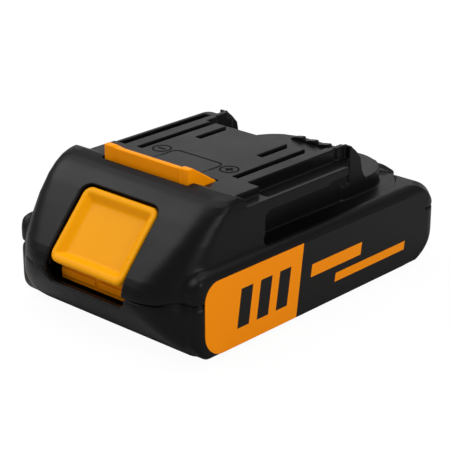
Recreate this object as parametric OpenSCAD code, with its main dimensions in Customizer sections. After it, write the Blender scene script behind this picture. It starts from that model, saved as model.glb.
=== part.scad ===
// Rechargeable slide-on battery pack for a cordless power tool.
// Millimetres, +Z up. Origin: middle of the footprint, on the floor plane.
// -Y is the release button end, +Y the end the tool slides over first.
// Stations below run from the nose (0) towards the rear and are moved to the origin at the end.

/* [Overall] */
// Width over the two raised side panels
panel_w = 76; // [72:0.5:82]
// Length from nose to rear wall
length = 123; // [122:0.5:126]
// Width of the body between the raised side panels
body_w = 70; // [69:0.5:71]
// Height of the parting line between the two housings
seam_z = 18; // [16.5:0.25:19]
// Height of the rounded ridge along the side panels
ridge_z = 27.3; // [26.8:0.1:29]
// Height of the groove floor under the rails
groove_z = 26.2; // [25.8:0.1:26.6]
// Height of the platform and deck
deck_z = 43.7; // [43:0.1:45]
// Wall thickness of the housings
wall = 2.2; // [1.8:0.1:2.4]

/* [Side panels] */
// Station of the panel's front end
panel_front = 8.1; // [7:0.1:9]
// Radius of the panel's front edge, seen from above
panel_edge = 3.6; // [3:0.1:4]
// Radius of the rear corners, seen from above
rear_corner = 6.5; // [6:0.25:7.5]
// Radius of the panel's front lower corner, seen from the side
panel_front_low = 8.9; // [7:0.1:10]
// Radius of the panel's front upper corner, seen from the side
panel_front_top = 6.1; // [4:0.1:7]
// Radius of the panel's rear lower corner, seen from the side
panel_rear_low = 13.3; // [12:0.1:14]
// Radius of the panel's rear upper corner, seen from the side
panel_rear_top = 12; // [10:0.1:12.5]
// Rise of the underside at the panels' lower edge
base_rise = 1.3; // [1:0.1:2]
// Width of the rising strip along the underside
base_in = 3.8; // [3:0.1:4.5]
// Thickness of the printed label film
label_t = 0.2; // [0.1:0.05:0.3]

/* [Rails and platform] */
// Half width of the platform
platform_hw = 25.6; // [25:0.1:26]
// Half width of the column between the two grooves
column_hw = 26.8; // [26.6:0.1:27.4]
// Rail underside height
rail_low = 37.7; // [37:0.1:38.2]
// Rail web top height
rail_web = 39.5; // [39.3:0.1:40]
// Rail lip top height
rail_top = 41.3; // [41:0.1:42]
// Width of the rail lip
rail_lip = 1.6; // [1.2:0.1:2.5]
// Station where the right rail's lip ends
rail_end = 78.3; // [77:0.1:80]
// Station where the left rail's lip turns in
rail_end_left = 88; // [85:0.1:89]
// Contact slot width
slot_w = 2.3; // [2:0.1:2.5]
// Distance of the two long slots from the middle
slot_long_x = 20; // [19.5:0.1:20.5]
// Distance of the two short slots from the middle
slot_short_x = 12.9; // [12.4:0.1:13.4]

/* [Release latch] */
// Width of the push pad
pad_w = 30.8; // [29:0.2:31]
// Length of the push pad along the slope
pad_l = 25; // [23:0.5:25.5]
// Slope of the push pad
pad_angle = 48.2; // [47:0.1:49]
// Width of the catch
catch_w = 35; // [33:0.5:36]
// Height of the catch top above the floor plane
catch_z = 49.8; // [48.5:0.1:50.5]
// Downward travel of the latch
latch_travel = 5; // [4:0.5:5]
// Gap between latch and housing
latch_gap = 0.6; // [0.5:0.05:0.8]

/* [Cells] */
// Diameter of one cell
cell_d = 18.3; // [18:0.1:18.5]
// Length of one cell
cell_l = 65; // [64.5:0.1:65.5]
// Distance between neighbouring cells
cell_pitch = 19.4; // [19:0.1:19.5]
// Height of the cell axes
cell_z = 12.4; // [12.3:0.05:12.5]

/* [Hidden] */
$fn = 96;
panel_hw = panel_w / 2;
body_hw = body_w / 2;
y_mid = length / 2;
// The parting line shows as a gap that a hidden lip bridges
seam_gap = 0.5;
seam_low = seam_z - seam_gap / 2;
seam_top = seam_z + seam_gap / 2;
lip_h = 1.6;
lip_t = wall / 2;
// Nose sections above the parting line: height, front station, corner radius, half width
nose_up = [
    [seam_z, 0, 16.5, body_hw],
    [seam_top + 0.1, 0, 16.5, body_hw],
    [seam_z + 2, 0.2, 16, body_hw],
    [seam_z + 4, 0.9, 15.3, body_hw],
    [seam_z + 6, 2.2, 14.2, body_hw],
    [28, 5.6, 11.5, body_hw],
    [34, 10.8, 8.5, body_hw],
    [39, 15.4, 7.2, body_hw],
    [41.6, 18.4, 6.7, body_hw - 0.1],
    [43.4, 21, 6.3, body_hw - 0.4],
    [44.6, 23.4, 5.8, body_hw - 1.1],
    [45.4, 25.5, 5.4, body_hw - 2.2],
    [45.9, 27.5, 5, body_hw - 4]
];
nose_up_in = [
    [seam_z - 2, wall, 14.3, body_hw - wall],
    [seam_z + 4, wall + 1.4, 13.3, body_hw - wall],
    [28, 8.6, 9.3, body_hw - wall],
    [34, 13.8, 6.3, body_hw - wall],
    [38.5, 18.2, 5, body_hw - wall],
    [40.6, 22, 4.5, body_hw - wall - 0.6],
    [41.4, 24.5, 4, body_hw - wall - 1.8]
];
// Below it the nose draws in towards the floor along one smooth curve
chin = 13.4;
nose_low = [
    for (i = [0:8])
        let (d = i / 8)
        [seam_z * (1 - d), chin * pow(d, 1.75), 16.5 - 12.5 * d, body_hw + 1.2 * d - (d > 0.9 ? 2 : 0)]
];
nose_low_in = [
    [seam_z + 1, wall, 14.3, body_hw - wall],
    [14, wall + 0.9, 11.8, body_hw - wall],
    [9, wall + 4.2, 6.8, body_hw - wall],
    [5, wall + 7.6, 3.4, body_hw - wall],
    [wall, wall + 10.6, 3, body_hw - wall]
];
nose_end = 32.3;
crest_end = 32.3;
hood_end = 43;
deck_hw = 30.4;
groove_front = 40.4;
groove_fillet = 2.6;
rail_step = 68.7;
rail_rise = 1;
rib_end = 77;
wall_gap = 82.5;
slot_long_front = 43.6;
slot_short_front = 62.4;
ear_front = 88.3;
ear_in = 24.7;
bay_hw = 23.7;
ear_hw = 27.5;
// Bay floor behind the contact ribs: short on the left, longer on the right
bay_z = 41.5;
bay_left = 82;
bay_right = 88.6;
bay_drop = 36;
tongue_z = 31.2;
tongue_hw = 27.4;
tongue_end = 114.4;
tongue_corner = 16;
hump_hw = 22;
hump_z = 27.1;
mark_x = 14.1;
mark_s = 47.6;
// Push pad frame: its lower edge
pad_s = 0.4;
pad_z = 21.4;
pad_t = 2.4;
// Skirt under the pad: it hides the springs and dips into a pocket of the tray
skirt_s = 6.3;
skirt_t = 1.8;
skirt_hw = 15.6;
skirt_z = 13.2;
rib_z = 14.2;
window_hw = pad_w / 2 + latch_gap;
notch_hw = window_hw + 0.9;
notch_z = 14.1;
catch_front = 27;
catch_end = 38.1;
hole_hw = catch_w / 2 + latch_gap;
hole_front = catch_front - latch_gap - 0.5;
hole_end = catch_end + latch_gap;
arm_z0 = 28;
arm_z1 = 31;
// Springs stand on bosses in the nose
spring_x = 10;
spring_s = 12.6;
spring_d = 6;
spring_wire = 0.8;
spring_low = 8;
spring_top = 26;
// Cells and holders
cell_mid = 68;
strip_t = 0.3;
holder_in = 19.8;
holder_top = 22.6;
shell = 2.4;
floor_in = shell;
roof_in = groove_z - shell;
strip_x = cell_l / 2;
// Board and contacts
board_z0 = 28.6;
board_z1 = 30.2;
board_hw = column_hw - 3.9;
board_s0 = 46;
board_s1 = 86.2;
block_hw = platform_hw - 2.2;
// The hollow under the platform ends before the contact ribs do
platform_in = rib_end - wall - 1;
contact_end = platform_in - 0.4;
contact_t = 0.7;
contact_top = 41;
block_top = 41.2;
// Screws: place, boss radius, height of the head's underside
screw_front = [24, 16.1, 2.95, 6];
screw_rear = [14, length - 4.2, 2.6, 8];
screw_l = 17;
head_d = 4.2;
head_h = 2;

// Rounded box outline: corner radii in the order low left, low right, top right, top left
module rounded(x0, y0, x1, y1, a, b, c, d) {
    polygon([
        [x0 + a, y0], [x1 - b, y0], [x1, y0 + b], [x1, y1 - c],
        [x1 - c, y1], [x0 + d, y1], [x0, y1 - d], [x0, y0 + a]
    ]);
    translate([x0 + a, y0 + a])
        circle(a);
    translate([x1 - b, y0 + b])
        circle(b);
    translate([x1 - c, y1 - c])
        circle(c);
    translate([x0 + d, y1 - d])
        circle(d);
}

module placed() {
    translate([0, -y_mid, 0])
        children();
}

// Outline in station and height, drawn across the width between two half widths
module across(x0, x1) {
    translate([x0, 0, 0])
        rotate([90, 0, 90])
            linear_extrude(x1 - x0)
                children();
}

// Outline in width and height, drawn along the stations
module along(s0, s1) {
    translate([0, s1, 0])
        rotate([90, 0, 0])
            linear_extrude(s1 - s0)
                children();
}

module both_sides() {
    children();
    mirror([1, 0, 0])
        children();
}

// Soft nose between sections with rounded front corners
module nose(sections, end, steps = 72) {
    hull() {
        for (p = sections) {
            for (m = [-1, 1]) {
                translate([m * (p[3] - p[2]), p[1] + p[2], max(p[0] - 0.01, 0)])
                    cylinder(r = p[2], h = 0.01, $fn = steps);
                translate([m * (p[3] - 0.5) - 0.5, end - 1, max(p[0] - 0.01, 0)])
                    cube([1, 1, 0.01]);
            }
        }
    }
}

// The box from the front: its underside rises towards the panels, whose top edges are round
module box_profile() {
    rounded(-panel_hw, base_rise, panel_hw, ridge_z, 0.3, 0.3, 3.2, 3.2);
    polygon([
        [-panel_hw + base_in, 0], [panel_hw - base_in, 0], [panel_hw, base_rise + 0.3],
        [panel_hw, base_rise + 4], [-panel_hw, base_rise + 4], [-panel_hw, base_rise + 0.3]
    ]);
}

// Cell box with raised side panels, shrunk by e for the hollow inside
module cell_box(e) {
    top = e > 0 ? roof_in : ridge_z;
    intersection() {
        translate([0, 0, -1])
            linear_extrude(ridge_z + 2)
                rounded(-panel_hw + e, panel_front + e, panel_hw - e, length - e,
                    panel_edge - e / 2, panel_edge - e / 2, rear_corner - e, rear_corner - e);
        across(-panel_hw - 1, panel_hw + 1)
            rounded(panel_front + e, e, length - e, top,
                panel_front_low - e, panel_rear_low - e, panel_rear_top - e, panel_front_top - e);
        along(0, length + 1)
            if (e > 0)
                rounded(-panel_hw + e, e, panel_hw - e, top, 1.4, 1.4, 2, 2);
            else
                box_profile();
    }
}

// Sunk floor on top of the cell box, round at the rear, where it runs out in the rear edge
module deck_floor() {
    translate([0, 0, groove_z])
        linear_extrude(4)
            rounded(-34.2, panel_front - 4, 34.2, length - 0.2, 4, 4, 28.5, 28.5);
}

// Low round hump on the middle of the rear edge
module rear_hump() {
    intersection() {
        translate([0, 0, 20])
            linear_extrude(10)
                rounded(-hump_hw, length - 6, hump_hw, length - 1.2, 0.5, 0.5, 4, 4);
        across(-hump_hw - 1, hump_hw + 1)
            rounded(length - 12, 10, length - 1.2, hump_z, 1, 1, 4, 1);
    }
}

// Housing pieces

module hood() {
    intersection() {
        nose(nose_up, nose_end);
        across(-body_hw - 1, body_hw + 1)
            polygon([[-1, 0], [-1, 60], [16, 60], [27.4, 46], [crest_end, deck_z], [crest_end, 0]]);
    }
    // flat deck behind the crest, stepped in from the flanks
    translate([-deck_hw, nose_end - 4, seam_z])
        cube([2 * deck_hw, hood_end - nose_end + 4, deck_z - seam_z]);
    translate([-body_hw, nose_end - 4, seam_z])
        cube([2 * body_hw, groove_front - nose_end + 4, rail_top - seam_z]);
    translate([-body_hw, nose_end - 4, rail_low])
        cube([2 * body_hw, hood_end - nose_end + 4, rail_top - rail_low]);
    // round inner corner at the front of the grooves
    both_sides()
        across(column_hw - 1, body_hw)
            difference() {
                translate([groove_front - 1, rail_low - groove_fillet])
                    square([groove_fillet + 1, groove_fillet + 1]);
                translate([groove_front + groove_fillet, rail_low - groove_fillet])
                    circle(groove_fillet);
            }
}

// Outline of a rail from above, the right one ends in a slanted face, the left one round and longer
module rail_outline_right() {
    polygon([
        [0, hood_end - 1], [body_hw, hood_end - 1], [body_hw, rail_end],
        [column_hw + 1.6, ear_front - 2], [column_hw, ear_front], [0, ear_front]
    ]);
}

module rail_outline_left() {
    translate([0, hood_end - 1])
        square([body_hw, rail_end_left - hood_end + 1]);
    translate([0, rail_end_left - 1])
        square([body_hw - 2.6, 3.6]);
    translate([body_hw - 2.6, rail_end_left])
        circle(2.6);
}

// Upright lip along the rail's outer edge
module lip_outline_right() {
    translate([body_hw - rail_lip, hood_end - 1])
        square([rail_lip, rail_end - hood_end + 1]);
}

module lip_outline_left() {
    difference() {
        rail_outline_left();
        translate([-1, hood_end - 2])
            square([body_hw - rail_lip + 1, rail_end_left - hood_end + 1.4]);
    }
}

// The rail's underside steps up towards its end
module rail_step_cut() {
    across(column_hw, body_hw + 1)
        polygon([
            [rail_step, rail_low - 1], [rail_step, rail_low], [rail_step + 1.7, rail_low + rail_rise],
            [rail_step + 40, rail_low + rail_rise], [rail_step + 40, rail_low - 1]
        ]);
}

module rail_right() {
    difference() {
        union() {
            translate([0, 0, rail_low])
                linear_extrude(rail_web - rail_low)
                    rail_outline_right();
            translate([0, 0, rail_low])
                linear_extrude(rail_top - rail_low)
                    lip_outline_right();
        }
        rail_step_cut();
    }
}

module rail_left() {
    difference() {
        union() {
            translate([0, 0, rail_low])
                linear_extrude(rail_web - rail_low)
                    rail_outline_left();
            translate([0, 0, rail_low])
                linear_extrude(rail_top - rail_low)
                    lip_outline_left();
        }
        rail_step_cut();
    }
}

module ear() {
    across(ear_in, ear_hw)
        polygon([
            [ear_front, 25], [ear_front, deck_z], [ear_front + 0.7, deck_z], [ear_front + 3.3, 41.4],
            [ear_front + 5.7, 38.8], [ear_front + 6.7, 34.1], [ear_front + 7.6, 32.4],
            [ear_front + 9, tongue_z], [ear_front + 9, 25]
        ]);
}

module platform() {
    // platform block and column
    translate([-platform_hw, hood_end - 1, 25])
        cube([2 * platform_hw, ear_front - hood_end + 2, deck_z - 25]);
    translate([-column_hw, groove_front - 2, 25])
        cube([2 * column_hw, ear_front - groove_front + 3, rail_low + rail_rise + 0.2 - 25]);
    rail_right();
    mirror([1, 0, 0])
        rail_left();
    both_sides()
        ear();
    // tongue
    translate([0, 0, groove_z - 1])
        linear_extrude(tongue_z - groove_z + 1)
            rounded(-tongue_hw, 85, tongue_hw, tongue_end, 1, 1, tongue_corner, tongue_corner);
}

// Bay floor from above: its rear edge swings from short on the left to long on the right
module bay_outline() {
    polygon(concat(
        [[-bay_hw - 1, rib_end - 1], [-bay_hw - 1, bay_left]],
        [for (i = [0:10]) [i - 5, bay_left + (bay_right - bay_left) * (0.5 - 0.5 * cos(18 * i))]],
        [[bay_hw + 1, bay_right], [bay_hw + 1, rib_end - 1]]
    ));
}

module bay_cut() {
    // open bay behind the contact ribs, wider towards the ears
    translate([-bay_hw + 0.8, rib_end, bay_z])
        cube([2 * bay_hw - 1.6, 8, 10]);
    translate([-bay_hw, wall_gap, bay_z])
        cube([2 * bay_hw, 20, 10]);
    translate([-ear_in, ear_front, bay_z])
        cube([2 * ear_in, 14, 10]);
    // behind the bay floor the middle drops
    difference() {
        translate([-bay_hw, bay_left - 1, bay_drop])
            cube([2 * bay_hw, 20, 20]);
        translate([0, 0, bay_drop - 1])
            linear_extrude(22)
                bay_outline();
    }
    // blind upright recess in the outside of the platform walls
    both_sides()
        translate([platform_hw - 0.6, wall_gap, rail_web])
            cube([2, 1.7, 10]);
}

// Three low teeth on the right rear edge of the bay floor
module bay_teeth() {
    for (x = [4.9, 10.2, 15.5])
        along(bay_right - 2.4, bay_right)
            translate([x, bay_z])
                polygon([[0, -0.5], [0, 0.1], [0.7, 0.6], [1.9, 1], [4.4, 1.4], [4.7, 1.2], [4.8, -0.5]]);
}

// Polarity marks and the fine outline sunk in the platform top
module platform_marks() {
    translate([0, 0, deck_z - 0.4])
        linear_extrude(2) {
            both_sides()
                translate([mark_x, mark_s])
                    difference() {
                        circle(3.1);
                        circle(2.6);
                    }
            both_sides()
                translate([mark_x - 1.5, mark_s - 0.35])
                    square([3, 0.7]);
            translate([mark_x - 0.35, mark_s - 1.5])
                square([0.7, 3]);
            difference() {
                rounded(-10.3, hood_end - 8, 10.3, 50, 0.1, 0.1, 2.4, 2.4);
                rounded(-9.8, hood_end - 9, 9.8, 49.5, 0.1, 0.1, 1.9, 1.9);
            }
        }
}

module contact_slots() {
    both_sides() {
        translate([slot_long_x - slot_w / 2, slot_long_front, 32])
            cube([slot_w, rib_end - slot_long_front + 1, 20]);
        translate([slot_short_x - slot_w / 2, slot_short_front, 32])
            cube([slot_w, rib_end - slot_short_front + 1, 20]);
    }
}

module pad_frame() {
    translate([0, pad_s, pad_z])
        rotate([pad_angle, 0, 0])
            children();
}

module window_cut() {
    pad_frame()
        translate([0, 0, -9])
            linear_extrude(24)
                rounded(-window_hw, -20, window_hw, pad_l + latch_gap, 1, 1, 3.6, 3.6);
}

module upper_hollow() {
    difference() {
        union() {
            nose(nose_up_in, nose_end - 1.5, 36);
            cell_box(shell);
            // under the deck and its lower shoulders
            translate([-deck_hw + wall, nose_end - 8, seam_z - 2])
                cube([2 * (deck_hw - wall), hood_end - wall - nose_end + 8, deck_z - wall - seam_z + 2]);
            translate([-body_hw + wall, nose_end - 8, seam_z - 2])
                cube([2 * (body_hw - wall), groove_front - nose_end + 8 - wall,
                    rail_top - wall - seam_z + 2]);
            // under the platform, the bay floor and the tongue
            translate([-platform_hw + 1.6, hood_end - wall - 1, 20])
                cube([2 * platform_hw - 3.2, platform_in - hood_end + wall + 1, deck_z - wall - 20]);
            translate([-column_hw + 3.5, 60, 20])
                cube([2 * column_hw - 7, bay_left - wall - 60, bay_z - wall - 20]);
            translate([-column_hw + 3.5, 60, 20])
                cube([2 * column_hw - 7, ear_front - 1.6 - 60, bay_drop - wall - 20]);
            translate([-tongue_hw + wall, 80, 20])
                cube([2 * tongue_hw - 2 * wall, 21, tongue_z - wall - 20]);
        }
        // screw bosses stay
        screw_places()
            cylinder(r = $screw[2], h = 60);
    }
}

// Draws its child at all four screws
module screw_places() {
    for (p = [screw_front, screw_rear])
        for (m = [-1, 1])
            translate([m * p[0], p[1], 0]) {
                $screw = p;
                children();
            }
}

module upper_housing() {
    color([0.05, 0.05, 0.05])
        placed() {
            difference() {
                union() {
                    difference() {
                        cell_box(0);
                        deck_floor();
                    }
                    rear_hump();
                    hood();
                    platform();
                }
                difference() {
                    translate([-60, -10, -1])
                        cube([120, length + 20, seam_top + 1]);
                    screw_places()
                        translate([0, 0, seam_low])
                            cylinder(r = $screw[2], h = 10);
                }
                upper_hollow();
                // rebate for the lower housing's lip
                lip_body(0.15);
                bay_cut();
                contact_slots();
                platform_marks();
                window_cut();
                translate([-hole_hw, hole_front, 30])
                    cube([2 * hole_hw, hole_end - hole_front, 30]);
                // pilot holes
                screw_places()
                    cylinder(d = 2.4, h = $screw[3] + screw_l - head_h + 0.5);
            }
            bay_teeth();
        }
}

// Lip that stands up inside the parting line
module lip_body(g) {
    rear = length - 1.9;
    translate([0, 0, seam_z - 3])
        linear_extrude(3 + seam_gap / 2 + lip_h + g)
            difference() {
                union() {
                    rounded(-panel_hw + lip_t - g, panel_front + lip_t, panel_hw - lip_t + g, rear + g,
                        panel_edge, panel_edge, rear_corner - 1, rear_corner - 1);
                    rounded(-body_hw + lip_t - g, lip_t - g, body_hw - lip_t + g, 40, 15.4, 15.4, 1, 1);
                }
                union() {
                    rounded(-panel_hw + 2.4, panel_front + 2.4, panel_hw - 2.4, rear - 1.2,
                        2.4, 2.4, rear_corner - 2.4, rear_corner - 2.4);
                    rounded(-body_hw + wall, wall, body_hw - wall, 42, 14.3, 14.3, 1, 1);
                }
            }
}

// Bosses, guide rib and spring seats that stand in the tray
module tray_posts() {
    screw_places()
        cylinder(r = $screw[2], h = 60);
    // spring bosses behind a guide rib for the skirt
    for (m = [-1, 1])
        translate([m * spring_x, spring_s, 0])
            cylinder(r = spring_d / 2 + 0.4, h = spring_low);
    translate([-notch_hw, skirt_s + skirt_t + 0.3, 0])
        cube([2 * notch_hw, 0.8, rib_z]);
}

module lower_housing() {
    color([0.06, 0.06, 0.06])
        placed()
            difference() {
                union() {
                    difference() {
                        union() {
                            cell_box(0);
                            nose(nose_low, nose_end);
                        }
                        translate([-60, -10, seam_low])
                            cube([120, length + 20, 40]);
                        difference() {
                            union() {
                                cell_box(shell);
                                nose(nose_low_in, nose_end, 36);
                            }
                            tray_posts();
                        }
                    }
                    intersection() {
                        lip_body(0);
                        translate([-60, -10, seam_low - 1])
                            cube([120, length + 20, 1 + seam_gap + lip_h]);
                    }
                }
                // notch below the push pad, and a pocket the skirt dips into
                along(-4, skirt_s - 0.9)
                    rounded(-notch_hw, notch_z, notch_hw, seam_z + 12, 4, 4, 1, 1);
                translate([-skirt_hw - latch_gap, skirt_s - 0.95, skirt_z - latch_travel - 0.4])
                    cube([2 * (skirt_hw + latch_gap), skirt_t + 1.25, 30]);
                // screw holes, counterbored from below
                screw_places() {
                    union() {
                        translate([0, 0, -1])
                            cylinder(d = 2.9, h = 40);
                        translate([0, 0, -1])
                            cylinder(d = head_d + 0.4, h = $screw[3] + 1);
                    }
                }
            }
}

module release_latch() {
    color([0.95, 0.6, 0.05])
        placed()
            difference() {
                union() {
                    pad_frame()
                        translate([0, 0, -pad_t])
                            linear_extrude(pad_t)
                                rounded(-pad_w / 2, 0, pad_w / 2, pad_l, 3.2, 3.2, 3.2, 3.2);
                    // skirt under the pad with two rib bars
                    translate([-skirt_hw, skirt_s, skirt_z])
                        cube([2 * skirt_hw, skirt_t, 27 - skirt_z]);
                    both_sides()
                        translate([0.8, skirt_s - 0.6, 14.6])
                            cube([14.2, 1, 2.2]);
                    // arm from the pad back to the catch, kept under the pad's face
                    across(-14, 14)
                        polygon([
                            [6.3, 22], [6.3, 26.4], [10.2, arm_z1], [33, arm_z1], [33, arm_z0],
                            [16.4, arm_z0], [16.4, spring_top], [8, spring_top], [8, 22]
                        ]);
                    // catch with raised end bands
                    across(-catch_w / 2, catch_w / 2)
                        polygon([
                            [catch_front, arm_z0], [catch_front, catch_z - 0.5],
                            [catch_front + 1.6, catch_z - 0.5], [catch_end, deck_z],
                            [catch_end, deck_z - 3], [33, 34], [33, arm_z0]
                        ]);
                    both_sides()
                        across(catch_w / 2 - 3.5, catch_w / 2)
                            polygon([
                                [catch_front - 0.5, arm_z0 + 4], [catch_front - 0.5, catch_z],
                                [catch_front + 1.6, catch_z], [catch_end, deck_z], [33, 34]
                            ]);
                }
                // dish of the pad
                pad_frame()
                    translate([0, 0, -1])
                        linear_extrude(5)
                            rounded(-pad_w / 2 + 3, 3, pad_w / 2 - 3, pad_l - 3, 2.4, 2.4, 2.4, 2.4);
            }
}

module latch_springs() {
    color([0.7, 0.7, 0.72])
        placed()
            for (m = [-1, 1])
                translate([m * spring_x, spring_s, spring_low])
                    difference() {
                        cylinder(d = spring_d, h = spring_top - spring_low);
                        translate([0, 0, -1])
                            cylinder(d = spring_d - 2 * spring_wire, h = spring_top - spring_low + 2);
                    }
}

module cell(i) {
    color([0.1, 0.4, 0.6])
        placed()
            translate([-cell_l / 2, cell_mid + (i - 3) * cell_pitch, cell_z])
                rotate([0, 90, 0])
                    cylinder(d = cell_d, h = cell_l);
}

module cell_1() {
    cell(1);
}

module cell_2() {
    cell(2);
}

module cell_3() {
    cell(3);
}

module cell_4() {
    cell(4);
}

module cell_5() {
    cell(5);
}

// Bored plate over one end of all cells, its rear edge round like the hollow it lies in
module holder() {
    s0 = cell_mid - 2 * cell_pitch - cell_d / 2 - 0.9;
    s1 = cell_mid + 2 * cell_pitch + cell_d / 2 + 0.9;
    across(holder_in, strip_x)
        difference() {
            rounded(s0, floor_in, s1, holder_top, 1, 9, 5, 1);
            for (i = [-2:2])
                translate([cell_mid + i * cell_pitch, cell_z])
                    circle(d = cell_d + 0.4);
        }
    // posts under the board
    for (s = [49.5, 84.4])
        translate([21.4, s, holder_top - 1])
            cylinder(d = 3, h = board_z0 - holder_top + 1);
}

module cell_holder_right() {
    color([0.2, 0.2, 0.2])
        placed()
            holder();
}

module cell_holder_left() {
    color([0.2, 0.2, 0.2])
        placed()
            mirror([1, 0, 0])
                holder();
}

// Nickel strip over the ends of cells i to j
module strip(i, j) {
    translate([strip_x, cell_mid + (i - 3) * cell_pitch - 4, cell_z - 4])
        cube([strip_t, (j - i) * cell_pitch + 8, 8]);
}

// Tab from the end cell up to the board
module tab(i, s) {
    c = cell_mid + (i - 3) * cell_pitch;
    s0 = min(c, s) - 2.5;
    s1 = max(c, s) + 2.5;
    translate([strip_x, c - 2.5, cell_z])
        cube([strip_t, 5, holder_top + 0.6 - cell_z]);
    translate([strip_x - 3, c - 2.5, holder_top + 0.3])
        cube([3 + strip_t, 5, 0.3]);
    translate([strip_x - 5, s0, holder_top + 0.3])
        cube([5, s1 - s0, 0.3]);
    translate([20, s - 2.5, holder_top + 0.3])
        cube([strip_x - 20, 5, 0.3]);
    translate([20, s - 2.5, holder_top + 0.3])
        cube([0.3, 5, board_z0 - holder_top - 0.3]);
}

module strip_right_12() {
    color([0.8, 0.8, 0.8])
        placed()
            strip(1, 2);
}

module strip_right_34() {
    color([0.8, 0.8, 0.8])
        placed()
            strip(3, 4);
}

module strip_positive() {
    color([0.8, 0.8, 0.8])
        placed() {
            strip(5, 5);
            tab(5, 80);
        }
}

module strip_negative() {
    color([0.8, 0.8, 0.8])
        placed()
            mirror([1, 0, 0]) {
                strip(1, 1);
                tab(1, 54);
            }
}

module strip_left_23() {
    color([0.8, 0.8, 0.8])
        placed()
            mirror([1, 0, 0])
                strip(2, 3);
}

module strip_left_45() {
    color([0.8, 0.8, 0.8])
        placed()
            mirror([1, 0, 0])
                strip(4, 5);
}

module circuit_board() {
    color([0.05, 0.3, 0.1])
        placed()
            translate([-board_hw, board_s0, board_z0])
                cube([2 * board_hw, board_s1 - board_s0, board_z1 - board_z0]);
}

// Forked contact under one slot
module fork(x, s0) {
    for (m = [-1, 1])
        translate([x + m * (slot_w / 2 + contact_t / 2) - contact_t / 2, s0, board_z1])
            cube([contact_t, contact_end - s0, contact_top - board_z1]);
    translate([x - slot_w / 2 - contact_t, s0, board_z1])
        cube([slot_w + 2 * contact_t, contact_end - s0, 0.8]);
}

module contact_negative() {
    color([0.8, 0.6, 0.3])
        placed()
            fork(-slot_long_x, 56);
}

module contact_positive() {
    color([0.8, 0.6, 0.3])
        placed()
            fork(slot_long_x, 56);
}

module contact_sense_left() {
    color([0.8, 0.6, 0.3])
        placed()
            fork(-slot_short_x, 64);
}

module contact_sense_right() {
    color([0.8, 0.6, 0.3])
        placed()
            fork(slot_short_x, 64);
}

module terminal_block() {
    color([0.12, 0.12, 0.12])
        placed()
            difference() {
                translate([-block_hw, 54, board_z1])
                    cube([2 * block_hw, contact_end - 54, block_top - board_z1]);
                for (m = [-1, 1]) {
                    translate([m * slot_long_x - slot_w / 2 - contact_t - 0.3, 55.5, board_z1 - 1])
                        cube([slot_w + 2 * contact_t + 0.6, 30, 30]);
                    translate([m * slot_short_x - slot_w / 2 - contact_t - 0.3, 63.5, board_z1 - 1])
                        cube([slot_w + 2 * contact_t + 0.6, 30, 30]);
                }
            }
}

module housing_screws() {
    color([0.6, 0.6, 0.6])
        placed()
            screw_places()
                translate([0, 0, $screw[3] - head_h])
                    union() {
                        cylinder(d = head_d, h = head_h);
                        cylinder(d = 2.36, h = screw_l);
                    }
}

// Outline of the film on the side panel, front part up to the slanted change of colour
module label_outline() {
    rounded(11.6, base_rise + 0.3, length - 7.4, 24.6, 7.5, 11.4, 10, 5.5);
}

module label_split(side) {
    if (side == "front")
        polygon([[0, -5], [50.2, -5], [54.9, 30], [0, 30]]);
    if (side == "rear")
        polygon([[50.2, -5], [130, -5], [130, 30], [54.9, 30]]);
}

module label_film(side) {
    across(panel_hw, panel_hw + label_t)
        intersection() {
            label_outline();
            label_split(side);
        }
}

module label_front_right() {
    color([0.95, 0.65, 0.15])
        placed()
            label_film("front");
}

module label_rear_right() {
    color([0.05, 0.05, 0.05])
        placed()
            label_film("rear");
}

module label_front_left() {
    color([0.95, 0.65, 0.15])
        placed()
            mirror([1, 0, 0])
                label_film("front");
}

module label_rear_left() {
    color([0.05, 0.05, 0.05])
        placed()
            mirror([1, 0, 0])
                label_film("rear");
}

lower_housing();
upper_housing();
release_latch();
latch_springs();
cell_1();
cell_2();
cell_3();
cell_4();
cell_5();
cell_holder_right();
cell_holder_left();
strip_right_12();
strip_right_34();
strip_positive();
strip_negative();
strip_left_23();
strip_left_45();
circuit_board();
terminal_block();
contact_negative();
contact_positive();
contact_sense_left();
contact_sense_right();
housing_screws();
label_front_right();
label_rear_right();
label_front_left();
label_rear_left();
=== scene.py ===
import math

import bmesh
import bpy
import numpy as np
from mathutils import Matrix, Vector


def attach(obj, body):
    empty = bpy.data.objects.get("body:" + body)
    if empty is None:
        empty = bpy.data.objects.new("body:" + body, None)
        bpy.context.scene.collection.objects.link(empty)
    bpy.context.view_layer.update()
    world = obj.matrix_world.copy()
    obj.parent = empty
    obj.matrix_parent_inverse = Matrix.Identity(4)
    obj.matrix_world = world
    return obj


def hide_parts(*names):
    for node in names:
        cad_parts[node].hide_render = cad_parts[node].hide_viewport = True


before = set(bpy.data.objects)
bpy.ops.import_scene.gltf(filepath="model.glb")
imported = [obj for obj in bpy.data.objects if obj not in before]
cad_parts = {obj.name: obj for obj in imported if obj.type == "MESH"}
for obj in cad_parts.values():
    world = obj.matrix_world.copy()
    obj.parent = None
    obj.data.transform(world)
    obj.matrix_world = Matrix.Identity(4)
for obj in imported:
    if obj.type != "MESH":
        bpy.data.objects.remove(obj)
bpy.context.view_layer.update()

# The table under the pack and the light round it.
# A pale sweep, a wide soft light overhead, one at the left in front, one at the right and one behind.
# The camera stands where the photograph was taken, with a long lens half a metre away.
scene = bpy.context.scene
scene.view_settings.view_transform = "Standard"

sweep_profile = [(-3.0, 0.0), (-1.0, 0.0), (0.8, 0.0), (1.3, 0.04), (1.6, 0.2), (1.75, 0.5), (1.8, 2.4)]
sweep_half_width = 3.0
sweep_below_pack = 0.0002
sweep_turn = 42.7
sweep_white = 1.06
sweep_white_share = 0.9
lamp_aim = (0, 0, 0.02)
camera_place = (0.31762, -0.34476, 0.20599)
camera_aim = (0, -0.0005, 0.018075)


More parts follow.
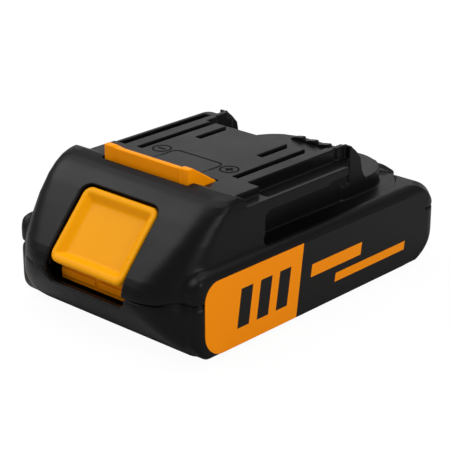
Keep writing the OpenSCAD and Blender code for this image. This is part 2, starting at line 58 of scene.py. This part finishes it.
def piece_from(form, name):
    mesh = bpy.data.meshes.new(name)
    form.to_mesh(mesh)
    form.free()
    piece = bpy.data.objects.new(name, mesh)
    scene.collection.objects.link(piece)
    return piece


def new_material(name):
    made = bpy.data.materials.new(name)
    made.use_nodes = True
    return made, made.node_tree.nodes, made.node_tree.links


def facing(place, aim):
    return (Vector(aim) - Vector(place)).to_track_quat("-Z", "Y").to_euler()


def soft_light(name, place, wide, high, watts):
    lamp = bpy.data.lights.new(name, "AREA")
    lamp.shape = "RECTANGLE"
    lamp.size = wide
    lamp.size_y = high
    lamp.energy = watts
    holder = bpy.data.objects.new(name, lamp)
    holder.location = place
    holder.rotation_euler = facing(place, lamp_aim)
    scene.collection.objects.link(holder)


sweep_form = bmesh.new()
sweep_rows = []
for along, up in sweep_profile:
    sweep_rows.append([sweep_form.verts.new((across, along, up - sweep_below_pack))
                       for across in (-sweep_half_width, sweep_half_width)])
for near, far in zip(sweep_rows, sweep_rows[1:]):
    sweep_form.faces.new((near[0], near[1], far[1], far[0])).smooth = True
sweep = piece_from(sweep_form, "sweep")
sweep.rotation_euler = (0, 0, math.radians(sweep_turn))

sweep_paint, nodes, links = new_material("pale_sweep")
sweep_shader = nodes["Principled BSDF"]
sweep_shader.inputs["Base Color"].default_value = (0.5, 0.5, 0.5, 1)
sweep_shader.inputs["Roughness"].default_value = 0.9
sweep_shader.inputs["Specular IOR Level"].default_value = 0.1
white = nodes.new("ShaderNodeEmission")
white.inputs["Strength"].default_value = sweep_white
rays = nodes.new("ShaderNodeLightPath")
# white where the camera or clear material looks at it, with a tenth of the shaded floor for the shadow
straight = nodes.new("ShaderNodeMath")
straight.operation = "MAXIMUM"
links.new(rays.outputs["Is Camera Ray"], straight.inputs[0])
links.new(rays.outputs["Is Transmission Ray"], straight.inputs[1])
mostly = nodes.new("ShaderNodeMath")
mostly.operation = "MULTIPLY"
mostly.inputs[1].default_value = sweep_white_share
links.new(straight.outputs[0], mostly.inputs[0])
seen = nodes.new("ShaderNodeMixShader")
links.new(mostly.outputs[0], seen.inputs["Fac"])
links.new(sweep_shader.outputs[0], seen.inputs[1])
links.new(white.outputs[0], seen.inputs[2])
links.new(seen.outputs[0], nodes["Material Output"].inputs["Surface"])
sweep.data.materials.append(sweep_paint)

world = bpy.data.worlds.new("studio")
world.use_nodes = True
world.node_tree.nodes["Background"].inputs["Color"].default_value = (1, 1, 1, 1)
world.node_tree.nodes["Background"].inputs["Strength"].default_value = 0.4
scene.world = world

soft_light("overhead", (-0.1, 0.25, 0.9), wide=0.9, high=0.7, watts=4.6)
soft_light("left_front", (-0.64, -0.33, 0.71), wide=0.8, high=0.5, watts=5.6)
soft_light("right", (0.9, -0.1, 0.4), wide=0.5, high=0.5, watts=4.2)
soft_light("behind", (-0.8, 0.87, 0.5), wide=0.9, high=0.5, watts=1.3)

camera_data = bpy.data.cameras.new("camera")
camera_data.lens = 128.36
camera_data.sensor_width = 36
camera_data.clip_start = 0.01
camera_data.clip_end = 20
camera = bpy.data.objects.new("camera", camera_data)
camera.location = camera_place
camera.rotation_euler = facing(camera_place, camera_aim)
scene.collection.objects.link(camera)
scene.camera = camera

# Lower and upper housing: two mouldings of black glass-filled nylon, screwed together from below.
# The mould leaves their edges and corners round, and the nose runs into the side panels in a soft
# hollow. Each is a fine remesh of its CAD solid, shaped at the rear and eased.
mm = 0.001
nose_to_middle = 61.5

# where the easing goes deep, in millimetres: from, to, and the fade beyond them
hollow_across, hollow_along, hollow_up = (30, 40, 2), (3, 11.5, 2.5), (3, 27, 3)
ridge_across, ridge_along, ridge_up = (33.5, 36.6, 0.8), (9, 40, 2), (25.4, 29.6, 0.8)
hump_across, hump_along = (-1, 25, 1), (113, 125, 1)
hood_up = (25, 43.2, 1)

# where it only sets in or dies out, in millimetres: start and end of the change
hump_foot = (24.3, 25.3)
window_side, window_top = (17.8, 19.6), (27, 28.6)
hood_side, hood_rear = (30.5, 32.5), (22.5, 24.5)
hump_ease = 0.25

# the pad's sloping face, from its foot
pad_slope = math.radians(48.2)
pad_foot_s, pad_foot_z = 0.4, 21.4

# the rear edge has a round top and a round foot, and so have the corners, seen along their diagonal
rear_top_radius, rear_top_s, rear_top_z = 10, 113, 17.3
rear_foot_radius = 11
corner_reach, corner_wall = 67.66, 1.6
inward_normal = -0.15

# the hump in the middle of the rear edge, and how it runs out
hump_front, hump_half_width = 115.5, 24
hump_crest, hump_fall, hump_fall_across = 27.6, 3, (15, 23.5)
hump_lift, hump_lift_up = 0.5, (25.6, 26.6)
hump_lift_across, hump_lift_along = (17, 22), (116.4, 117.4)

# the right half of the bay floor, where the teeth stand
bay_floor = 41.5
teeth_across, teeth_along = (4.4, 20.8), (85.8, 88.9)


def station(s):
    """A place along the pack in metres, from its distance to the nose in millimetres."""
    return (s - nose_to_middle) * mm


def in_millimetres(points):
    """Each point's distance from the middle plane, its distance from the nose and its height."""
    return np.abs(points[:, 0]) * 1000, points[:, 1] * 1000 + nose_to_middle, points[:, 2] * 1000


def ramp(values, low, high):
    """Rises softly from 0 at low to 1 at high."""
    share = np.clip((values - low) / (high - low), 0, 1)
    return share * share * (3 - 2 * share)


def band(values, low, high, fade):
    return ramp(values, low - fade, low) * (1 - ramp(values, high, high + fade))


def on_pad_slope(s, z):
    """Distance up the slope of the pad from its foot, and distance off the pad's face."""
    ahead, above = s - pad_foot_s, z - pad_foot_z
    up_slope = ahead * math.cos(pad_slope) + above * math.sin(pad_slope)
    off_face = -ahead * math.sin(pad_slope) + above * math.cos(pad_slope)
    return up_slope, off_face


def soft_places(points):
    """Weight of the deep easing: in the hollow beside the nose, on the panels' top edges, on the rear
    hump and on the hood round the pad's window."""
    x, s, z = in_millimetres(points)
    hollow = band(x, *hollow_across) * band(s, *hollow_along) * band(z, *hollow_up)
    ridge = band(x, *ridge_across) * band(s, *ridge_along) * band(z, *ridge_up)
    hump = hump_ease * band(x, *hump_across) * band(s, *hump_along) * ramp(z, *hump_foot)
    up_slope, _ = on_pad_slope(s, z)
    beside_window = np.maximum(ramp(x, *window_side), ramp(up_slope, *window_top))
    hood = beside_window * (1 - ramp(x, *hood_side)) * (1 - ramp(s, *hood_rear)) * band(z, *hood_up)
    return np.maximum(np.maximum(hollow, ridge), np.maximum(hump, hood))


def round_rear(points, normals):
    """Lets the hump in the middle of the rear edge run out to both sides, levels the floor where the
    teeth stand, and cuts the rear corners back until they are round below and above."""
    x, s, z = in_millimetres(points)
    behind = np.clip(s - rear_top_s, 0, rear_top_radius)
    rear_edge = rear_top_z + np.sqrt(rear_top_radius ** 2 - behind ** 2)
    crest = np.maximum(rear_edge, hump_crest - hump_fall * ramp(x, *hump_fall_across))
    lift = hump_lift * ramp(z, *hump_lift_up) * (1 - ramp(x, *hump_lift_across)) * ramp(s, *hump_lift_along)
    z = np.where((s > hump_front) & (x < hump_half_width), np.minimum(z + lift, crest), z)

    right = points[:, 0] > 0
    beside = (x > teeth_across[0]) & (x < teeth_across[1])
    at_teeth = right & beside & (s > teeth_along[0]) & (s < teeth_along[1])
    z = np.where(at_teeth, np.minimum(z, bay_floor), z)
    points[:, 2] = z * mm

    # reach and limit are measured from the middle, along the diagonal through the corner
    diagonal = math.sqrt(0.5)
    below = np.clip(rear_foot_radius - z, 0, rear_foot_radius)
    above = np.clip(z - rear_top_z, 0, rear_top_radius)
    foot_inset = rear_foot_radius - np.sqrt(rear_foot_radius ** 2 - below ** 2)
    top_inset = rear_top_radius - np.sqrt(rear_top_radius ** 2 - above ** 2)
    hand = np.sign(points[:, 0])
    faces_in = (normals[:, 0] * hand + normals[:, 1]) < inward_normal
    limit = corner_reach - foot_inset - top_inset - corner_wall * faces_in
    reach = (x + s - nose_to_middle) * diagonal
    pull = np.maximum(0, reach - limit) * diagonal * mm
    points[:, 0] -= hand * pull
    points[:, 1] -= pull
    return points


def applied(piece):
    graph = bpy.context.evaluated_depsgraph_get()
    return bpy.data.meshes.new_from_object(piece.evaluated_get(graph))


def smoothed(piece, name, rounds):
    smooth = piece.modifiers.new(name, "SMOOTH")
    smooth.factor = 0.5
    smooth.iterations = rounds
    return smooth


def eased(node, name, voxel, shape, rounds, faces, places=None, deep_rounds=0):
    """A CAD solid remeshed finely, shaped, eased deeply in some places and lightly all over, and thinned
    to about so many faces."""
    piece = bpy.data.objects.new(name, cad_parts[node].data.copy())
    piece.data.materials.clear()
    scene.collection.objects.link(piece)
    remesh = piece.modifiers.new("remesh", "REMESH")
    remesh.mode = "VOXEL"
    remesh.voxel_size = voxel
    fine = applied(piece)
    piece.modifiers.clear()
    piece.data = fine

    points = np.empty(len(fine.vertices) * 3)
    normals = np.empty(len(fine.vertices) * 3)
    fine.vertices.foreach_get("co", points)
    fine.vertex_normals.foreach_get("vector", normals)
    points = shape(points.reshape(-1, 3), normals.reshape(-1, 3))
    fine.vertices.foreach_set("co", points.ravel())
    fine.update()

    if places:
        weights = places(points)
        group = piece.vertex_groups.new(name="soft")
        weight_steps = 10
        for step in range(1, weight_steps + 1):
            above = weights > (step - 0.5) / weight_steps
            below = weights <= (step + 0.5) / weight_steps
            group.add(np.nonzero(above & below)[0].tolist(), step / weight_steps, "REPLACE")
        smoothed(piece, "soft", deep_rounds).vertex_group = "soft"
    smoothed(piece, "edges", rounds)
    triangles = 2 * len(fine.polygons)
    thin = piece.modifiers.new("thin", "DECIMATE")
    thin.ratio = min(1.0, faces / triangles)
    final = applied(piece)
    piece.modifiers.clear()
    piece.vertex_groups.clear()
    piece.data = final
    final.name = name
    final.polygons.foreach_set("use_smooth", [True] * len(final.polygons))
    return piece


def grain_group():
    """Fine moulded grain: a colour that wanders a little, a roughness that follows it, and a height."""
    group = bpy.data.node_groups.new("moulded_grain", "ShaderNodeTree")
    for direction, kind, names in (
            ("INPUT", "NodeSocketColor", ("Colour", "Deep colour")),
            ("INPUT", "NodeSocketFloat", ("Grain scale", "Cloud scale", "Smooth", "Rough")),
            ("OUTPUT", "NodeSocketColor", ("Colour",)),
            ("OUTPUT", "NodeSocketFloat", ("Roughness", "Height"))):
        for name in names:
            group.interface.new_socket(name, in_out=direction, socket_type=kind)
    nodes, links = group.nodes, group.links
    given = nodes.new("NodeGroupInput")
    put = nodes.new("NodeGroupOutput")
    where = nodes.new("ShaderNodeTexCoord")

    def noise(scale, detail):
        made = nodes.new("ShaderNodeTexNoise")
        made.inputs["Detail"].default_value = detail
        links.new(where.outputs["Object"], made.inputs["Vector"])
        links.new(given.outputs[scale], made.inputs["Scale"])
        return made

    grain = noise("Grain scale", 3)
    cloud = noise("Cloud scale", 4)
    cloud_share = 0.6
    fine = nodes.new("ShaderNodeMath")
    fine.operation = "MULTIPLY"
    fine.inputs[1].default_value = 1 - cloud_share
    links.new(grain.outputs["Fac"], fine.inputs[0])
    blend = nodes.new("ShaderNodeMath")
    blend.operation = "MULTIPLY_ADD"
    blend.inputs[1].default_value = cloud_share
    links.new(cloud.outputs["Fac"], blend.inputs[0])
    links.new(fine.outputs[0], blend.inputs[2])
    tone = nodes.new("ShaderNodeMix")
    tone.data_type = "RGBA"
    links.new(blend.outputs[0], tone.inputs["Factor"])
    links.new(given.outputs["Colour"], tone.inputs["A"])
    links.new(given.outputs["Deep colour"], tone.inputs["B"])
    gloss = nodes.new("ShaderNodeMapRange")
    gloss.inputs["From Min"].default_value = 0.3
    gloss.inputs["From Max"].default_value = 0.7
    links.new(blend.outputs[0], gloss.inputs["Value"])
    links.new(given.outputs["Smooth"], gloss.inputs["To Min"])
    links.new(given.outputs["Rough"], gloss.inputs["To Max"])
    links.new(tone.outputs["Result"], put.inputs["Colour"])
    links.new(gloss.outputs["Result"], put.inputs["Roughness"])
    links.new(grain.outputs["Fac"], put.inputs["Height"])
    return group


moulded_grain = grain_group()


def grained(name, colour, deep, grain, cloud, smooth, rough, specular, height, metal=0.0):
    made, nodes, links = new_material(name)
    skin = nodes.new("ShaderNodeGroup")
    skin.node_tree = moulded_grain
    skin.inputs["Colour"].default_value = (*colour, 1)
    skin.inputs["Deep colour"].default_value = (*deep, 1)
    skin.inputs["Grain scale"].default_value = grain
    skin.inputs["Cloud scale"].default_value = cloud
    skin.inputs["Smooth"].default_value = smooth
    skin.inputs["Rough"].default_value = rough
    shader = nodes["Principled BSDF"]
    shader.inputs["Specular IOR Level"].default_value = specular
    shader.inputs["Metallic"].default_value = metal
    links.new(skin.outputs["Colour"], shader.inputs["Base Color"])
    links.new(skin.outputs["Roughness"], shader.inputs["Roughness"])
    bump = nodes.new("ShaderNodeBump")
    bump.inputs["Distance"].default_value = height
    bump.inputs["Strength"].default_value = 1.0
    links.new(skin.outputs["Height"], bump.inputs["Height"])
    links.new(bump.outputs["Normal"], shader.inputs["Normal"])
    return made


black_moulding = grained("black_moulding", colour=(0.003, 0.003, 0.0035), deep=(0.005, 0.005, 0.0057),
                         grain=2600, cloud=60, smooth=0.32, rough=0.42, specular=0.12, height=0.00002)
lower_shell = eased("lower_housing", "lower_shell", voxel=0.00045, shape=round_rear, rounds=4, faces=90000,
                    places=soft_places, deep_rounds=45)
lower_shell.data.materials.append(black_moulding)
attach(lower_shell, "pack")
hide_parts("lower_housing")
upper_shell = eased("upper_housing", "upper_shell", voxel=0.00028, shape=round_rear, rounds=3, faces=185000,
                    places=soft_places, deep_rounds=110)
upper_shell.data.materials.append(black_moulding)
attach(upper_shell, "pack")
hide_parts("upper_housing")

# Bay teeth: three low ramps moulded on the right rear edge of the bay floor, where the tool's foot stops.
# They are part of the upper housing and stand by themselves only to keep their edges clean.
tooth_places = (4.9, 10.2, 15.5)
tooth_ends = (86.3, 88.5)
tooth_profile = [(0, -0.4), (0, 0.1), (0.7, 0.6), (1.9, 1.0), (4.4, 1.4), (4.7, 1.2), (4.8, -0.4)]
tooth_edge = 0.00012

teeth_form = bmesh.new()
for place in tooth_places:
    ends = []
    for s in tooth_ends:
        ends.append([teeth_form.verts.new(((place + x) * mm, station(s), (bay_floor + z) * mm))
                     for x, z in tooth_profile])
    for i in range(len(tooth_profile)):
        j = (i + 1) % len(tooth_profile)
        teeth_form.faces.new((ends[0][i], ends[0][j], ends[1][j], ends[1][i]))
    teeth_form.faces.new(ends[0])
    teeth_form.faces.new(ends[1])
bmesh.ops.recalc_face_normals(teeth_form, faces=teeth_form.faces)
bmesh.ops.bevel(teeth_form, geom=teeth_form.edges[:], offset=tooth_edge, segments=2, affect="EDGES")
bay_teeth = piece_from(teeth_form, "bay_teeth")
bay_teeth.data.materials.append(black_moulding)
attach(bay_teeth, "pack")

# Release latch: one moulding of orange acetal with a scooped push pad, a ribbed skirt and a catch.
# It slides in the upper housing on the two springs. The pad's rim is thick and round, and skirt and
# catch carry painted shade: a slightly deeper orange than the pad between them, on what is one orange
# moulding.
pad_half_width, pad_half_length = 15.4, 12.5
pad_corner, pad_rim = 3.2, 0.9
dish_depth, dish_edge = 1.9, (1.6, 4.4)
# points this deep below the pad's face, or this far past its outline, are still part of it
pad_skin, pad_beyond = 1.6, 0.1
# the pad's band in height; the latch's faces outside it, skirt and catch, get the painted shade orange
pad_low, pad_high = 0.0205, 0.0425


def scoop_pad(points, normals):
    """Lowers the pad's face to a round rim and a deep dish, by the distance from the pad's outline."""
    x, s, z = in_millimetres(points)
    up_slope, off_face = on_pad_slope(s, z)
    across = x - (pad_half_width - pad_corner)
    along = np.abs(up_slope - pad_half_length) - (pad_half_length - pad_corner)
    past_corner = np.hypot(np.maximum(across, 0), np.maximum(along, 0))
    inside = pad_corner - (past_corner + np.minimum(np.maximum(across, along), 0))
    rim = np.sqrt(pad_rim ** 2 - np.clip(pad_rim - inside, 0, pad_rim) ** 2) - pad_rim
    wanted = rim - dish_depth * ramp(inside, *dish_edge)
    on_face = (off_face > -pad_skin) & (inside > -pad_beyond)
    drop = np.where(on_face, np.maximum(0, off_face - wanted), 0) * mm
    points[:, 1] += drop * math.sin(pad_slope)
    points[:, 2] -= drop * math.cos(pad_slope)
    return points


orange_grain = {"grain": 2200, "cloud": 80, "smooth": 0.32, "rough": 0.4, "specular": 0.05,
                "height": 0.000015}
orange_moulding = grained("orange_moulding", colour=(0.84, 0.345, 0.0012), deep=(0.80, 0.315, 0.001),
                          **orange_grain)
orange_painted_shade = grained("orange_painted_shade", colour=(0.95, 0.3, 0.001), deep=(0.91, 0.275, 0.001), **orange_grain)
latch_piece = eased("release_latch", "latch_moulding", voxel=0.0003, shape=scoop_pad, rounds=4, faces=60000)
latch_piece.data.materials.append(orange_moulding)
latch_piece.data.materials.append(orange_painted_shade)
# faces above or below the pad's band take the painted shade orange
for face in latch_piece.data.polygons:
    face.material_index = int(not pad_low < face.center.z < pad_high)
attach(latch_piece, "latch")
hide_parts("release_latch")

# Latch springs: two coils of drawn steel wire on bosses of the tray, pushing the latch's arm up.
# The lower end stays on its boss and the upper end follows the latch, so the coils close up as it
# is pressed.
spring_x, spring_y = 0.010, station(12.6)
spring_low, spring_length = 0.008, 0.018
wire_radius = 0.0004
coil_radius, coil_turns, coil_steps = 0.0026, 8.25, 300
wire_sides = 8
flat_share = 0.12


def clamped(value):
    return min(1, max(0, value))


spring_form = bmesh.new()
for hand in (-1, 1):
    rings = []
    for step in range(coil_steps + 1):
        share = step / coil_steps
        # the end turns lie flat, the turns between them climb
        climb = clamped((share - flat_share) / (1 - 2 * flat_share))
        height = spring_low + wire_radius + (spring_length - 2 * wire_radius) * climb
        turn = 2 * math.pi * coil_turns * share
        outward = Vector((math.cos(turn), math.sin(turn), 0))
        middle = Vector((hand * spring_x, spring_y, height)) + outward * coil_radius
        ring = []
        for side in range(wire_sides):
            around = 2 * math.pi * side / wire_sides
            off_middle = math.cos(around) * outward + Vector((0, 0, math.sin(around)))
            ring.append(spring_form.verts.new(middle + wire_radius * off_middle))
        rings.append(ring)
    for near, far in zip(rings, rings[1:]):
        for side in range(wire_sides):
            after = (side + 1) % wire_sides
            spring_form.faces.new((near[side], near[after], far[after], far[side])).smooth = True
    spring_form.faces.new(rings[0])
    spring_form.faces.new(rings[-1])
bmesh.ops.recalc_face_normals(spring_form, faces=spring_form.faces)
springs = piece_from(spring_form, "wire_springs")
follow = springs.vertex_groups.new(name="follow")
for vertex in springs.data.vertices:
    follow.add([vertex.index], clamped((vertex.co.z - spring_low) / spring_length), "REPLACE")
hook = springs.modifiers.new("latch", "HOOK")
hook.object = latch_piece
hook.matrix_inverse = latch_piece.matrix_world.inverted()
hook.vertex_group = "follow"
hook.falloff_type = "NONE"
springs.data.materials.append(grained(
    "drawn_wire", colour=(0.62, 0.62, 0.63), deep=(0.48, 0.48, 0.5),
    grain=5000, cloud=300, smooth=0.22, rough=0.38, specular=0.5, height=0.000004, metal=1.0))
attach(springs, "pack")
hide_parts("latch_springs")

# Side labels: printed polyester film stuck to the flat of each side panel, orange in front and black
# behind a slanted edge. Plain slanted bars in the other colour are printed on them.
label_front, label_rear, label_low, label_top = 11.6, 115.6, 1.6, 24.6
label_corners = (7.5, 11.4, 10, 5.5)
corner_steps = 12
split_low, split_top, split_height = 50.87, 54.9, 30
film_under, film_face = 37.9, 38.14
print_under, print_face = 38.1, 38.18
film_edge_fall, film_edge_width, film_least_reach = 0.03, 0.05, 0.3
short_bar_places, short_bar_low, short_bar_width, short_bar_height = (24.8, 33.2, 41.6), 7, 5, 12
bar_lean = 0.157


def label_outline():
    """Round-cornered outline of a side's two films together, in millimetres along and up."""
    corners = [(label_front, label_low, 1, 1), (label_rear, label_low, -1, 1),
               (label_rear, label_top, -1, -1), (label_front, label_top, 1, -1)]
    outline = []
    for number, (s, z, inward_s, inward_z) in enumerate(corners):
        radius = label_corners[number]
        middle_s, middle_z = s + inward_s * radius, z + inward_z * radius
        for step in range(corner_steps + 1):
            turn = math.radians(180 + 90 * number + 90 * step / corner_steps)
            outline.append((middle_s + radius * math.cos(turn), middle_z + radius * math.sin(turn)))
    return outline


def cut_along_split(outline, keep_front):
    """The part of an outline in front of the slanted split, or behind it."""
    def side(point):
        offset = point[0] - (split_low + (split_top - split_low) * point[1] / split_height)
        return -offset if keep_front else offset

    kept = []
    for here, there in zip(outline, outline[1:] + outline[:1]):
        near, far = side(here), side(there)
        if near >= 0:
            kept.append(here)
        if (near > 0 > far) or (near < 0 < far):
            share = near / (near - far)
            kept.append((here[0] + share * (there[0] - here[0]), here[1] + share * (there[1] - here[1])))
    return kept


def film(name, outlines, under, face, hand):
    """Thin film pieces on one side panel: flat outside, with a small turned edge."""
    form = bmesh.new()
    for outline in outlines:
        middle_s = sum(s for s, z in outline) / len(outline)
        middle_z = sum(z for s, z in outline) / len(outline)
        rings = []
        for x, shrink in ((under, 0.0), (face - film_edge_fall, 0.0), (face, film_edge_width)):
            ring = []
            for s, z in outline:
                pull = shrink / max(film_least_reach, math.hypot(s - middle_s, z - middle_z))
                drawn_s, drawn_z = s + (middle_s - s) * pull, z + (middle_z - z) * pull
                ring.append(form.verts.new((hand * x * mm, station(drawn_s), drawn_z * mm)))
            rings.append(ring)
        for lower, upper in zip(rings, rings[1:]):
            for i in range(len(outline)):
                j = (i + 1) % len(outline)
                form.faces.new((lower[i], lower[j], upper[j], upper[i]))
        form.faces.new(rings[-1])
        form.faces.new(rings[0][::-1])
    bmesh.ops.recalc_face_normals(form, faces=form.faces)
    piece = piece_from(form, name)
    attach(piece, "pack")
    return piece


def slanted_bar(s, z, wide, high):
    lean = bar_lean * high
    return [(s, z), (s + wide, z), (s + wide + lean, z + high), (s + lean, z + high)]


film_grain = {"grain": 3500, "cloud": 40, "smooth": 0.38, "rough": 0.46, "height": 0.000004}
film_orange = grained("film_orange", colour=(0.88, 0.262, 0.002), deep=(0.84, 0.24, 0.002),
                      specular=0.06, **film_grain)
film_black = grained("film_black", colour=(0.008, 0.0078, 0.0077), deep=(0.011, 0.0107, 0.0105),
                     specular=0.1, **film_grain)
whole_label = label_outline()
short_bars = [slanted_bar(s, short_bar_low, short_bar_width, short_bar_height) for s in short_bar_places]
long_bars = [slanted_bar(57.5, 12.6, wide=24, high=4), slanted_bar(69, 7.4, wide=35, high=2.8)]
for side_name, hand in (("right", 1), ("left", -1)):
    front_film = film("film_front_" + side_name, [cut_along_split(whole_label, True)],
                      film_under, film_face, hand)
    front_film.data.materials.append(film_orange)
    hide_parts("label_front_" + side_name)
    rear_film = film("film_rear_" + side_name, [cut_along_split(whole_label, False)],
                     film_under, film_face, hand)
    rear_film.data.materials.append(film_black)
    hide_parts("label_rear_" + side_name)
    dark_bars = film("bars_front_" + side_name, short_bars, print_under, print_face, hand)
    dark_bars.data.materials.append(film_black)
    bright_bars = film("bars_rear_" + side_name, long_bars, print_under, print_face, hand)
    bright_bars.data.materials.append(film_orange)

# Marks on the platform: polarity rings with a plus and a minus, and the fine outline behind the catch.
# They are sunk into the moulding and hold no light, so each is a thin dark inlay level with the deck.
mark_levels = (43.64, 43.73)
ring_x, ring_s, ring_inner, ring_outer, ring_steps = 14.1, 47.6, 2.6, 3.1, 40
sign_arm, sign_stroke = 1.5, 0.35
outline_front, outline_width = 43.2, 0.5
outline_half, outline_rear, outline_corner, outline_steps = 9.8, 49.5, 1.9, 6


def sunk_strip(form, inner, outer, closed):
    """A strip between two lines of points, which goes round or has two ends."""
    rows = [[[form.verts.new((x * mm, station(s), z * mm)) for x, s in line] for z in mark_levels]
            for line in (inner, outer)]
    (inner_low, inner_top), (outer_low, outer_top) = rows
    for i in range(len(inner) if closed else len(inner) - 1):
        j = (i + 1) % len(inner)
        form.faces.new((inner_top[i], outer_top[i], outer_top[j], inner_top[j]))
        form.faces.new((inner_low[i], inner_low[j], outer_low[j], outer_low[i]))
        form.faces.new((inner_low[i], inner_top[i], inner_top[j], inner_low[j]))
        form.faces.new((outer_low[i], outer_low[j], outer_top[j], outer_top[i]))
    if not closed:
        for i in (0, len(inner) - 1):
            form.faces.new((inner_low[i], outer_low[i], outer_top[i], inner_top[i]))


def sunk_bar(form, x, s, half_wide, half_long):
    sunk_strip(form, [(x - half_wide, s - half_long), (x + half_wide, s - half_long)],
               [(x - half_wide, s + half_long), (x + half_wide, s + half_long)], False)


def circle_line(x, s, radius):
    turns = [math.radians(360 * step / ring_steps) for step in range(ring_steps)]
    return [(x + radius * math.cos(turn), s + radius * math.sin(turn)) for turn in turns]


def outline_line(grown):
    """The outline behind the catch, open to the front, with round rear corners."""
    half, rear, radius = outline_half + grown, outline_rear + grown, outline_corner + grown
    line = [(-half, outline_front)]
    for middle, start in ((-half + radius, 180), (half - radius, 90)):
        for step in range(outline_steps + 1):
            turn = math.radians(start - 90 * step / outline_steps)
            line.append((middle + radius * math.cos(turn), rear - radius + radius * math.sin(turn)))
    return line + [(half, outline_front)]


marks_form = bmesh.new()
for x in (-ring_x, ring_x):
    sunk_strip(marks_form, circle_line(x, ring_s, ring_inner), circle_line(x, ring_s, ring_outer), True)
sunk_strip(marks_form, outline_line(0), outline_line(outline_width), False)
for x in (-ring_x, ring_x):
    sunk_bar(marks_form, x, ring_s, sign_arm, sign_stroke)
sunk_bar(marks_form, ring_x, ring_s, sign_stroke, sign_arm)
bmesh.ops.recalc_face_normals(marks_form, faces=marks_form.faces)
marks = piece_from(marks_form, "platform_marks")
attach(marks, "pack")
marks.data.materials.append(grained(
    "sunk_black", colour=(0.002, 0.002, 0.002), deep=(0.004, 0.004, 0.004),
    grain=2600, cloud=60, smooth=0.6, rough=0.7, specular=0.05, height=0.00001))


# Inside: five cells in shrink wrap between two bored holders, with welded nickel strips on their ends.
# The board on the holders' posts carries the terminal block and its forked brass contacts.
def dress(material, *names):
    for name in names:
        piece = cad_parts[name]
        piece.data.materials.clear()
        piece.data.materials.append(material)


dress(grained("cell_wrap", colour=(0.09, 0.24, 0.42), deep=(0.07, 0.2, 0.36),
              grain=1500, cloud=50, smooth=0.28, rough=0.36, specular=0.5, height=0.000008),
      "cell_1", "cell_2", "cell_3", "cell_4", "cell_5")
dress(grained("holder_moulding", colour=(0.06, 0.06, 0.065), deep=(0.085, 0.085, 0.09),
              grain=2200, cloud=70, smooth=0.5, rough=0.6, specular=0.3, height=0.00002),
      "cell_holder_right", "cell_holder_left")
dress(grained("nickel_strip", colour=(0.7, 0.69, 0.66), deep=(0.58, 0.57, 0.55),
              grain=4500, cloud=250, smooth=0.25, rough=0.42, specular=0.5, height=0.000005, metal=1.0),
      "strip_right_12", "strip_right_34", "strip_positive", "strip_negative",
      "strip_left_23", "strip_left_45")
dress(grained("board_lacquer", colour=(0.015, 0.12, 0.045), deep=(0.025, 0.17, 0.06),
              grain=900, cloud=120, smooth=0.3, rough=0.42, specular=0.45, height=0.00001),
      "circuit_board")
dress(grained("block_moulding", colour=(0.018, 0.018, 0.018), deep=(0.028, 0.028, 0.028),
              grain=2400, cloud=70, smooth=0.48, rough=0.58, specular=0.25, height=0.00002),
      "terminal_block")
dress(grained("contact_brass", colour=(0.72, 0.55, 0.27), deep=(0.6, 0.44, 0.2),
              grain=4500, cloud=220, smooth=0.22, rough=0.4, specular=0.5, height=0.000005, metal=1.0),
      "contact_negative", "contact_positive", "contact_sense_left", "contact_sense_right")

# Housing screws: four plated steel screws, driven from below into the cover's bosses.
# Only their heads show, deep in the counterbores.
dress(grained("plated_screw", colour=(0.2, 0.2, 0.205), deep=(0.14, 0.14, 0.145),
              grain=5000, cloud=300, smooth=0.3, rough=0.45, specular=0.5, height=0.000005, metal=1.0),
      "housing_screws")
